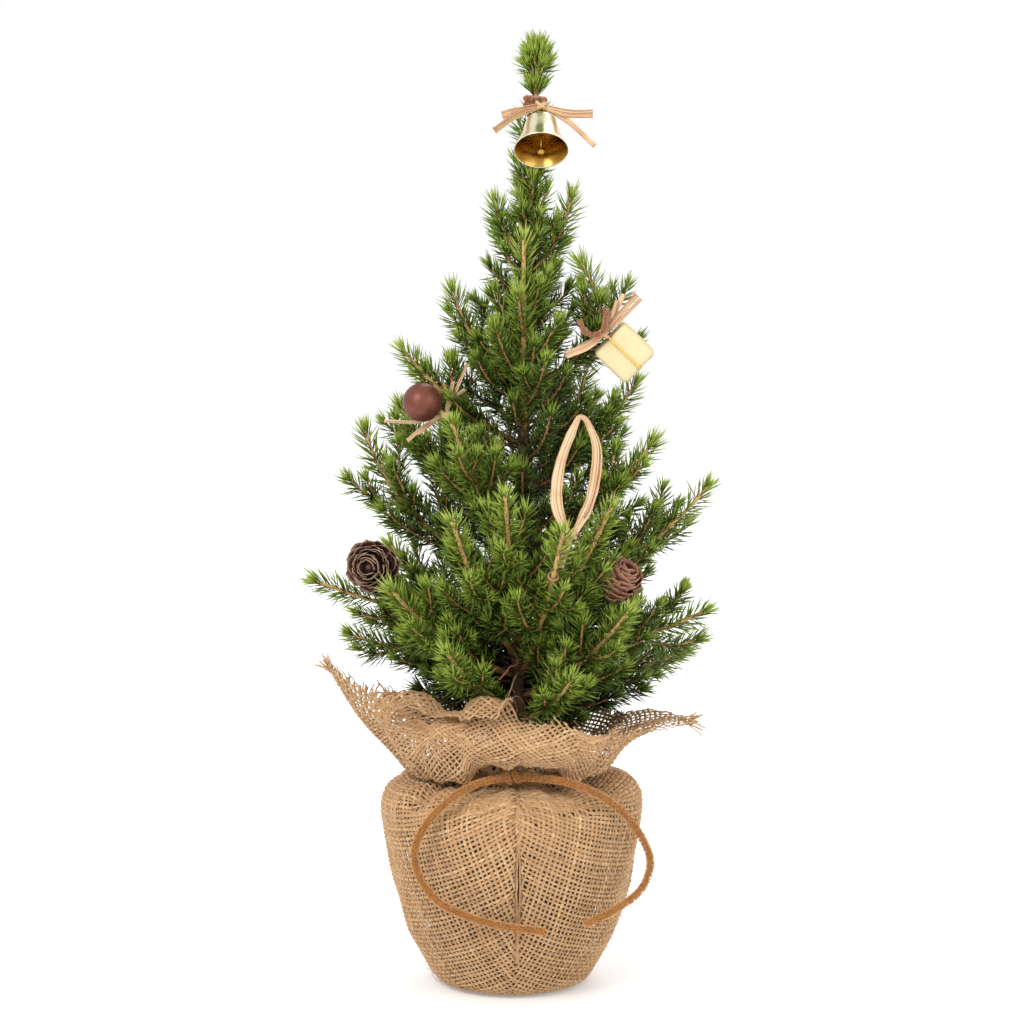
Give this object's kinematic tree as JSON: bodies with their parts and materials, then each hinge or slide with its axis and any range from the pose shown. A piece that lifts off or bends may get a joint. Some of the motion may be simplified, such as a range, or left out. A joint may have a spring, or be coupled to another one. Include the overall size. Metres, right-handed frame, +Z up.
{
  "type": "tabletop christmas tree",
  "caption": "Small conifer on a straight trunk in a burlap-wrapped pot, with a chenille tie, a bell, a bauble, a gift and two cones on bendable branches.",
  "frame": {"origin": "centre of the flat face that the wrapped pot rests on", "axes": "+Z up, -Y towards the front with the tie, +X to the right seen from the front"},
  "size_m": [0.1858, 0.1573, 0.458],
  "materials": {
    "burlap": "coarse open jute weave",
    "pot_plastic": "thin dark nursery pot",
    "ballast": "cast plaster block",
    "moss": "coir and moss mat",
    "core_steel": "drawn rod",
    "bark": "rough brown bark",
    "needles": "mid green needles on an ochre twig",
    "orange_chenille": "short dense pile on a wire",
    "brown_chenille": "short dense pile on a wire",
    "raffia": "fibrous straw-coloured strip",
    "gold_metal": "polished, thin",
    "bauble_lacquer": "satin metallic copper brown",
    "gift_paper": "ivory wrapping paper on a light block",
    "gold_cord": "metallic twisted cord",
    "cone_wood": "dry larch cone scales",
    "tie_wire": "fine brown florist's wire"
  },
  "bodies": {
    "tree": {"burlap_wrap": "burlap", "burlap_collar": "burlap", "pot": "pot_plastic", "ballast": "ballast", "moss_disc": "moss", "neck_tie": "orange_chenille", "trunk": "bark", "trunk_core": "core_steel", "leader": "needles", "bell_band": "brown_chenille", "bell_bow": "raffia", "dry_twig": "bark"},
    "bell": {"bell": "gold_metal", "bell_loop": "gold_metal"},
    "bell_clapper": {"bell_clapper": "gold_metal"},
    "branch_01": {"branch_01": "needles"},
    "branch_02": {"branch_02": "needles"},
    "branch_03": {"branch_03": "needles"},
    "branch_04": {"branch_04": "needles"},
    "branch_05": {"branch_05": "needles"},
    "branch_06": {"branch_06": "needles"},
    "branch_07": {"branch_07": "needles"},
    "branch_08": {"branch_08": "needles"},
    "branch_09": {"branch_09": "needles"},
    "branch_10": {"branch_10": "needles"},
    "branch_11": {"branch_11": "needles"},
    "branch_12": {"branch_12": "needles"},
    "branch_13": {"branch_13": "needles"},
    "branch_14": {"branch_14": "needles"},
    "branch_15": {"branch_15": "needles"},
    "branch_16": {"branch_16": "needles"},
    "branch_17": {"branch_17": "needles"},
    "branch_18": {"branch_18": "needles"},
    "branch_19": {"branch_19": "needles"},
    "branch_20": {"branch_20": "needles"},
    "branch_21": {"branch_21": "needles"},
    "branch_22": {"branch_22": "needles"},
    "branch_23": {"branch_23": "needles"},
    "branch_24": {"branch_24": "needles"},
    "branch_25": {"branch_25": "needles"},
    "branch_26": {"branch_26": "needles"},
    "branch_27": {"branch_27": "needles"},
    "branch_28": {"branch_28": "needles"},
    "branch_29": {"branch_29": "needles"},
    "branch_30": {"branch_30": "needles"},
    "branch_31": {"branch_31": "needles"},
    "branch_32": {"branch_32": "needles"},
    "bauble": {"bauble": "bauble_lacquer", "bauble_cap": "gold_metal", "bauble_wire": "brown_chenille", "bauble_bow": "raffia"},
    "gift": {"gift_box": "gift_paper", "gift_cord": "gold_cord", "gift_bow": "raffia", "gift_band": "brown_chenille"},
    "cone_left": {"cone_left": "cone_wood", "cone_left_wire": "tie_wire"},
    "cone_right": {"cone_right": "cone_wood", "cone_right_wire": "tie_wire"},
    "raffia_loop": {"raffia_loop": "raffia"}
  },
  "joints": [
    {"name": "bell_swing", "type": "hinge", "parent": "tree", "child": "bell", "pos_m": [0.0135, -0.00747, 0.41608], "axis": [-1, 0, 0], "range_deg": [-8, 10]},
    {"name": "clapper_swing", "type": "hinge", "parent": "bell", "child": "bell_clapper", "pos_m": [0.0135, -0.01275, 0.41062], "axis": [-1, 0, 0], "range_deg": [-2, 60]},
    {"name": "branch_01_bend", "type": "hinge", "parent": "tree", "child": "branch_01", "pos_m": [0.00455, -0.00428, 0.128], "axis": [-0.9272, -0.3746, 0], "range_deg": [-5, 10]},
    {"name": "branch_02_bend", "type": "hinge", "parent": "tree", "child": "branch_02", "pos_m": [0.00571, 0.00362, 0.133], "axis": [0.788, -0.6157, 0], "range_deg": [-10, 10]},
    {"name": "branch_03_bend", "type": "hinge", "parent": "tree", "child": "branch_03", "pos_m": [0.00083, -0.00408, 0.135], "axis": [-0.891, 0.454, 0], "range_deg": [-5, 7]},
    {"name": "branch_04_bend", "type": "hinge", "parent": "tree", "child": "branch_04", "pos_m": [0.00735, 0.00126, 0.138], "axis": [0.2756, -0.9613, 0], "range_deg": [-10, 10]},
    {"name": "branch_05_bend", "type": "hinge", "parent": "tree", "child": "branch_05", "pos_m": [0.00603, -0.00339, 0.14], "axis": [-0.7431, -0.6691, 0], "range_deg": [-10, 4]},
    {"name": "branch_06_bend", "type": "hinge", "parent": "tree", "child": "branch_06", "pos_m": [-0.00131, 0.00086, 0.15], "axis": [0.1908, 0.9816, 0], "range_deg": [-10, 10]},
    {"name": "branch_07_bend", "type": "hinge", "parent": "tree", "child": "branch_07", "pos_m": [-0.00023, -0.00302, 0.15], "axis": [-0.6691, 0.7431, 0], "range_deg": [-9, 10]},
    {"name": "branch_08_bend", "type": "hinge", "parent": "tree", "child": "branch_08", "pos_m": [0.00422, -0.00438, 0.15], "axis": [-0.9703, -0.2419, 0], "range_deg": [-10, 3]},
    {"name": "branch_09_bend", "type": "hinge", "parent": "tree", "child": "branch_09", "pos_m": [-0.00019, 0.00301, 0.152], "axis": [0.6691, 0.7431, 0], "range_deg": [-10, 10]},
    {"name": "branch_10_bend", "type": "hinge", "parent": "tree", "child": "branch_10", "pos_m": [0.00767, -0.00047, 0.155], "axis": [-0.1045, -0.9945, 0], "range_deg": [-10, 10]},
    {"name": "branch_11_bend", "type": "hinge", "parent": "tree", "child": "branch_11", "pos_m": [0.00154, -0.00411, 0.16], "axis": [-0.9205, 0.3907, 0], "range_deg": [-10, 0]},
    {"name": "branch_12_bend", "type": "hinge", "parent": "tree", "child": "branch_12", "pos_m": [0.00578, -0.00373, 0.165], "axis": [-0.8387, -0.5446, 0], "range_deg": [-5, 10]},
    {"name": "branch_13_bend", "type": "hinge", "parent": "tree", "child": "branch_13", "pos_m": [0.00705, 0.00249, 0.165], "axis": [0.5592, -0.829, 0], "range_deg": [-10, 5]},
    {"name": "branch_14_bend", "type": "hinge", "parent": "tree", "child": "branch_14", "pos_m": [-0.00089, -0.00061, 0.172], "axis": [-0.1392, 0.9903, 0], "range_deg": [-10, 10]},
    {"name": "branch_15_bend", "type": "hinge", "parent": "tree", "child": "branch_15", "pos_m": [0.0031, -0.0044, 0.172], "axis": [-0.9962, 0.0872, 0], "range_deg": [0, 10]},
    {"name": "branch_16_bend", "type": "hinge", "parent": "tree", "child": "branch_16", "pos_m": [0.0043, 0.00433, 0.175], "axis": [0.9848, -0.1736, 0], "range_deg": [-10, 10]},
    {"name": "branch_17_bend", "type": "hinge", "parent": "tree", "child": "branch_17", "pos_m": [0.00796, 0.00038, 0.178], "axis": [0.0872, -0.9962, 0], "range_deg": [-6, 10]},
    {"name": "branch_18_bend", "type": "hinge", "parent": "tree", "child": "branch_18", "pos_m": [-0.0004, 0.00015, 0.195], "axis": [0.0349, 0.9994, 0], "range_deg": [-10, 6]},
    {"name": "branch_19_bend", "type": "hinge", "parent": "tree", "child": "branch_19", "pos_m": [0.00188, 0.0038, 0.195], "axis": [0.8829, 0.4695, 0], "range_deg": [-10, 10]},
    {"name": "branch_20_bend", "type": "hinge", "parent": "tree", "child": "branch_20", "pos_m": [0.00844, -0.00059, 0.212], "axis": [-0.1392, -0.9903, 0], "range_deg": [-10, 10]},
    {"name": "branch_21_bend", "type": "hinge", "parent": "tree", "child": "branch_21", "pos_m": [0.00182, -0.00347, 0.212], "axis": [-0.8192, 0.5736, 0], "range_deg": [-10, 10]},
    {"name": "branch_22_bend", "type": "hinge", "parent": "tree", "child": "branch_22", "pos_m": [0.00085, 0.00196, 0.225], "axis": [0.4695, 0.8829, 0], "range_deg": [-10, 10]},
    {"name": "branch_23_bend", "type": "hinge", "parent": "tree", "child": "branch_23", "pos_m": [0.00713, 0.00338, 0.235], "axis": [0.8192, -0.5736, 0], "range_deg": [-10, 10]},
    {"name": "branch_24_bend", "type": "hinge", "parent": "tree", "child": "branch_24", "pos_m": [0.00896, 0.00043, 0.24], "axis": [0.1045, -0.9945, 0], "range_deg": [-10, 10]},
    {"name": "branch_25_bend", "type": "hinge", "parent": "tree", "child": "branch_25", "pos_m": [0.00155, -0.00097, 0.262], "axis": [-0.2419, 0.9703, 0], "range_deg": [-10, 10]},
    {"name": "branch_26_bend", "type": "hinge", "parent": "tree", "child": "branch_26", "pos_m": [0.00544, -0.004, 0.262], "axis": [-1, 0, 0], "range_deg": [-10, 9]},
    {"name": "branch_27_bend", "type": "hinge", "parent": "tree", "child": "branch_27", "pos_m": [0.00496, 0.00395, 0.265], "axis": [0.9903, 0.1392, 0], "range_deg": [-10, 10]},
    {"name": "branch_28_bend", "type": "hinge", "parent": "tree", "child": "branch_28", "pos_m": [0.00225, 0.00081, 0.285], "axis": [0.2079, 0.9781, 0], "range_deg": [-10, 10]},
    {"name": "branch_29_bend", "type": "hinge", "parent": "tree", "child": "branch_29", "pos_m": [0.00997, -0.00094, 0.29], "axis": [-0.2419, -0.9703, 0], "range_deg": [-10, 10]},
    {"name": "branch_30_bend", "type": "hinge", "parent": "tree", "child": "branch_30", "pos_m": [0.00784, 0.00366, 0.318], "axis": [0.9781, -0.2079, 0], "range_deg": [-10, 10]},
    {"name": "branch_31_bend", "type": "hinge", "parent": "tree", "child": "branch_31", "pos_m": [0.01158, 0, 0.345], "axis": [0, -1, 0], "range_deg": [-10, 10]},
    {"name": "branch_32_bend", "type": "hinge", "parent": "tree", "child": "branch_32", "pos_m": [0.00475, -0.00123, 0.35], "axis": [-0.342, 0.9397, 0], "range_deg": [-10, 10]},
    {"name": "bauble_turn", "type": "hinge", "parent": "branch_25", "child": "bauble", "pos_m": [-0.03327, -0.00965, 0.28709], "axis": [-0.7075, -0.1764, 0.6844], "range_deg": [-15, 15]},
    {"name": "gift_turn", "type": "hinge", "parent": "branch_29", "child": "gift", "pos_m": [0.04098, -0.00867, 0.32354], "axis": [-0.0111, 0.0028, 0.9999], "range_deg": [-15, 15]},
    {"name": "cone_left_turn", "type": "hinge", "parent": "branch_14", "child": "cone_left", "pos_m": [-0.06215, -0.00922, 0.1859], "axis": [-0.9471, -0.1331, 0.2921], "range_deg": [-15, 15]},
    {"name": "cone_right_turn", "type": "hinge", "parent": "branch_12", "child": "cone_right", "pos_m": [0.03158, -0.04346, 0.2075], "axis": [0.36, -0.5543, 0.7504], "range_deg": [-15, 15]},
    {"name": "raffia_loop_turn", "type": "hinge", "parent": "branch_08", "child": "raffia_loop", "pos_m": [0.01893, -0.06338, 0.20741], "axis": [0.1519, -0.6092, 0.7783], "range_deg": [-10, 9]}
  ]
}
